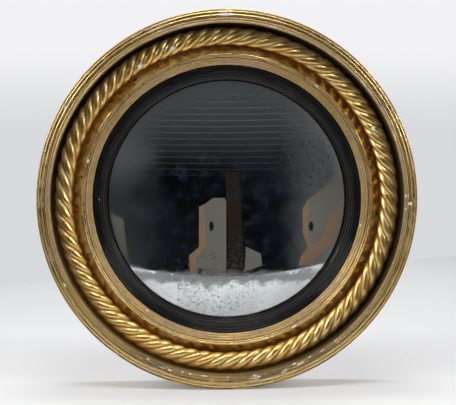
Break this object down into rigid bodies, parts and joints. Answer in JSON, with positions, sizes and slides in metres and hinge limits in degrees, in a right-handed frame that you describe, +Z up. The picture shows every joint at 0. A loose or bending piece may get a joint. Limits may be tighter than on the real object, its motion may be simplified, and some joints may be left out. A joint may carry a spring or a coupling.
{
  "type": "convex mirror",
  "caption": "Round giltwood convex wall mirror: reeded rim, rope twist in a deep hollow, ebonised reeded slip, planked back, and swinging wire rings on strap hangers behind.",
  "frame": {"origin": "centre of the wall plane behind the mirror, on the mirror's axis", "axes": "+Y into the wall, so the mirror faces -Y; +Z up; +X to the right as seen from the front"},
  "size_m": [0.546, 0.075, 0.546],
  "materials": {
    "gilt_rim": "worn water gilding on gessoed pine",
    "gilt_bed": "worn gilding, darker in the hollow",
    "gilt_rope": "burnished gilding on carved pine",
    "back_wood": "bare old pine with an ochre washed side",
    "ebonised_wood": "ebonised, worn to brown on the reeds",
    "plate_glass": "old clear plate",
    "amalgam": "aged tin amalgam, foxed at the edge",
    "packing": "folded paper strip",
    "block_pine": "sawn pine",
    "backboard_pine": "old planed pine",
    "iron_nails": "rusted iron",
    "strap_brass": "dull brass",
    "ring_brass": "dull brass wire",
    "screw_brass": "dull brass"
  },
  "bodies": {
    "mirror": {"rim_top_right": "gilt_rim", "rim_bottom_right": "gilt_rim", "rim_bottom_left": "gilt_rim", "rim_top_left": "gilt_rim", "bed_top": "gilt_bed", "bed_right": "gilt_bed", "bed_bottom": "gilt_bed", "bed_left": "gilt_bed", "back_top_right": "back_wood", "back_bottom_right": "back_wood", "back_bottom_left": "back_wood", "back_top_left": "back_wood", "rope_length_1": "gilt_rope", "rope_length_2": "gilt_rope", "rope_length_3": "gilt_rope", "rope_length_4": "gilt_rope", "rope_length_5": "gilt_rope", "backboard_top": "backboard_pine", "backboard_middle": "backboard_pine", "backboard_bottom": "backboard_pine", "ebonised_slip": "ebonised_wood", "convex_glass": "plate_glass", "silvering": "amalgam", "packing_ring": "packing", "glue_blocks": "block_pine", "backboard_nails": "iron_nails", "left_hanger_strap": "strap_brass", "right_hanger_strap": "strap_brass", "left_hanger_screws": "screw_brass", "right_hanger_screws": "screw_brass"},
    "left_ring": {"left_hanging_ring": "ring_brass"},
    "right_ring": {"right_hanging_ring": "ring_brass"}
  },
  "joints": [
    {"name": "left_ring_swing", "type": "hinge", "parent": "mirror", "child": "left_ring", "pos_m": [-0.2145, -0.00442, 0.091], "axis": [1, 0, 0], "range_deg": [0, 175]},
    {"name": "right_ring_swing", "type": "hinge", "parent": "mirror", "child": "right_ring", "pos_m": [0.2145, -0.00442, 0.091], "axis": [1, 0, 0], "range_deg": [0, 175]}
  ]
}
